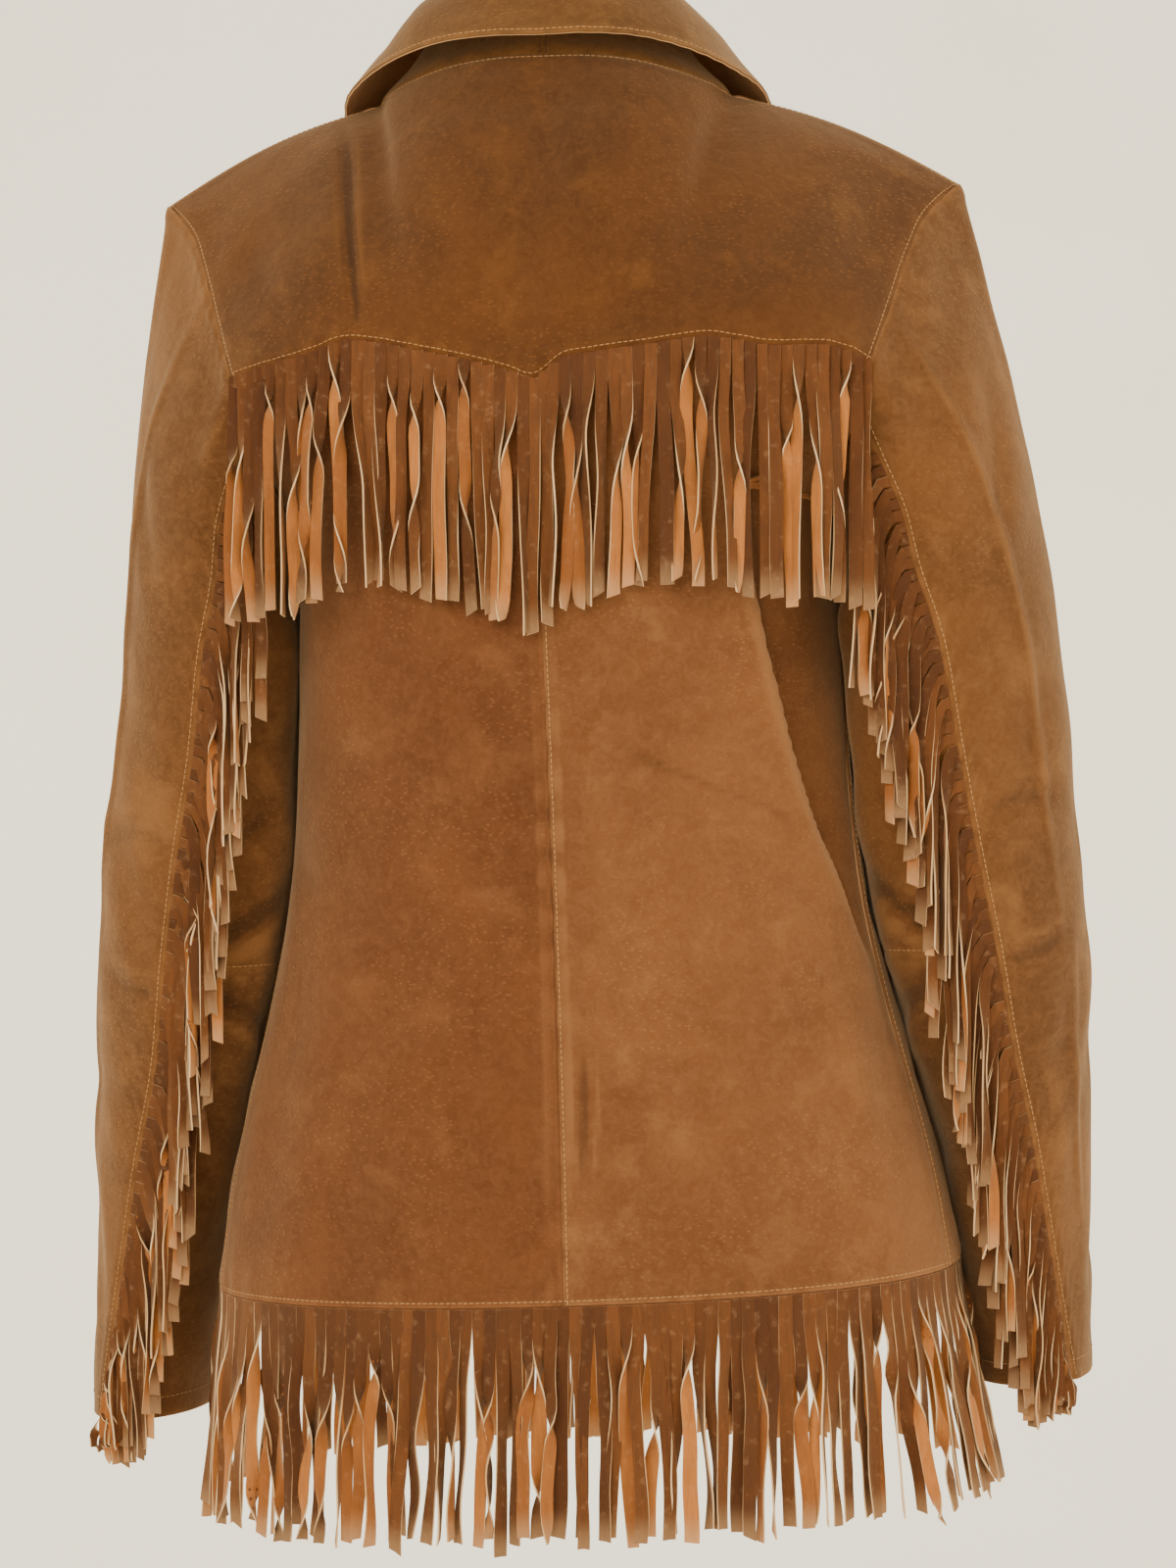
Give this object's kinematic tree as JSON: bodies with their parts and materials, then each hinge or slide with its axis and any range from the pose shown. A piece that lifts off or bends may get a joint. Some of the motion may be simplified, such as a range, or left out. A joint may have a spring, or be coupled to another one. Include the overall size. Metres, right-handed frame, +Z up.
{
  "type": "fringed buckskin jacket",
  "caption": "Hip-length suede jacket, worn and closed, with a pointed back yoke, a turned-down collar and long fringes at yoke, sleeves and hem.",
  "frame": {"origin": "between the shoulders at the base of the neck, where the wearer carries the jacket", "axes": "+Z up, the front faces -Y, the wearer's left is +X"},
  "size_m": [0.566, 0.2516, 0.8335],
  "materials": {
    "suede_body": "matte napped suede, tan brown, with pores and worn ridges",
    "suede_sleeve": "matte napped suede, tan brown, with pressed ridges",
    "suede_collar": "matte napped suede, tan brown, smoothed along its edge",
    "suede_fringe": "matte suede strands, brown outside and orange tan inside, with pale cut edges",
    "button_horn": "dark brown mottled horn, satin"
  },
  "bodies": {
    "root": {"back_left": "suede_body", "back_right": "suede_body", "back_yoke": "suede_body", "button_1": "button_horn", "button_2": "button_horn", "button_3": "button_horn", "button_4": "button_horn", "button_5": "button_horn", "collar_fall": "suede_collar", "collar_stand_left": "suede_collar", "collar_stand_right": "suede_collar", "fringe_hem_back": "suede_fringe", "fringe_hem_front_left": "suede_fringe", "fringe_hem_front_right": "suede_fringe", "fringe_sleeve_left": "suede_fringe", "fringe_sleeve_right": "suede_fringe", "fringe_yoke": "suede_fringe", "front_left": "suede_body", "front_right": "suede_body", "sleeve_under_low_left": "suede_sleeve", "sleeve_under_low_right": "suede_sleeve", "sleeve_under_top_left": "suede_sleeve", "sleeve_under_top_right": "suede_sleeve", "sleeve_upper_left": "suede_sleeve", "sleeve_upper_right": "suede_sleeve"}
  },
  "joints": []
}
